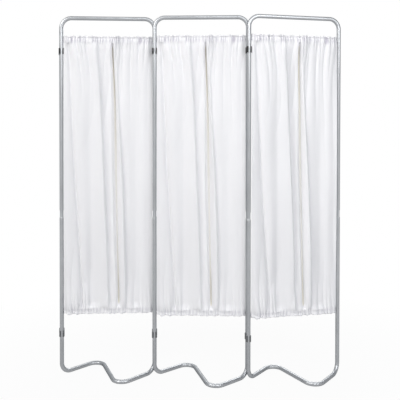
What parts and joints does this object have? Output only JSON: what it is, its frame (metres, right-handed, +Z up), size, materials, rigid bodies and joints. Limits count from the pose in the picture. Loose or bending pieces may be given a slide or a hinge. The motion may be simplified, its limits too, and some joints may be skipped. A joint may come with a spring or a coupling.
{
  "type": "folding privacy screen",
  "caption": "Free-standing folding privacy screen: tubular frames with wave-shaped feet, gathered curtains on rods and push-on hinge clips.",
  "frame": {"origin": "on the floor, under the middle of the centre panel's foot", "axes": "+X from the centre panel's left leg to its right one, +Y to the back of the screen, +Z up"},
  "size_m": [1.3426, 0.2548, 1.7],
  "materials": {
    "frame_tube": "satin, drawn tube",
    "rivet": "satin",
    "rod": "bright drawn",
    "curtain": "plain weave, matte",
    "clip": "moulded, satin"
  },
  "bodies": {
    "panel_2": {"panel_2_upper_frame": "frame_tube", "panel_2_lower_frame": "frame_tube", "panel_2_left_rivet": "rivet", "panel_2_right_rivet": "rivet", "panel_2_top_rod": "rod", "panel_2_bottom_rod": "rod", "panel_2_curtain": "curtain"},
    "panel_1": {"panel_1_upper_frame": "frame_tube", "panel_1_lower_frame": "frame_tube", "panel_1_left_rivet": "rivet", "panel_1_right_rivet": "rivet", "panel_1_top_rod": "rod", "panel_1_bottom_rod": "rod", "panel_1_curtain": "curtain"},
    "panel_3": {"panel_3_upper_frame": "frame_tube", "panel_3_lower_frame": "frame_tube", "panel_3_left_rivet": "rivet", "panel_3_right_rivet": "rivet", "panel_3_top_rod": "rod", "panel_3_bottom_rod": "rod", "panel_3_curtain": "curtain"},
    "seam_1_clips": {"seam_1_upper_clip": "clip", "seam_1_lower_clip": "clip"},
    "seam_2_clips": {"seam_2_upper_clip": "clip", "seam_2_lower_clip": "clip"},
    "outer_upper_clip": {"outer_upper_clip": "clip"},
    "outer_lower_clip": {"outer_lower_clip": "clip"}
  },
  "joints": [
    {"name": "seam_1_clips_turn", "type": "hinge", "parent": "panel_2", "child": "seam_1_clips", "pos_m": [-0.219, 0, 0.8665], "axis": [0, 0, 1], "range_deg": [-21, 20]},
    {"name": "panel_1_fold", "type": "hinge", "parent": "seam_1_clips", "child": "panel_1", "pos_m": [-0.22401, 0.03565, 0.8665], "axis": [0, 0, 1], "range_deg": [-160, 15]},
    {"name": "seam_2_clips_turn", "type": "hinge", "parent": "panel_2", "child": "seam_2_clips", "pos_m": [0.219, 0, 0.8665], "axis": [0, 0, 1], "range_deg": [-21, 20]},
    {"name": "panel_3_fold", "type": "hinge", "parent": "seam_2_clips", "child": "panel_3", "pos_m": [0.22401, -0.03565, 0.8665], "axis": [0, 0, 1], "range_deg": [-168, 7]},
    {"name": "outer_upper_clip_turn", "type": "hinge", "parent": "panel_1", "child": "outer_upper_clip", "pos_m": [-0.66007, -0.00557, 1.535], "axis": [0, 0, 1], "range_deg": [-52, 158]},
    {"name": "outer_lower_clip_turn", "type": "hinge", "parent": "panel_1", "child": "outer_lower_clip", "pos_m": [-0.66007, -0.00557, 0.198], "axis": [0, 0, 1], "range_deg": [-52, 158]}
  ]
}
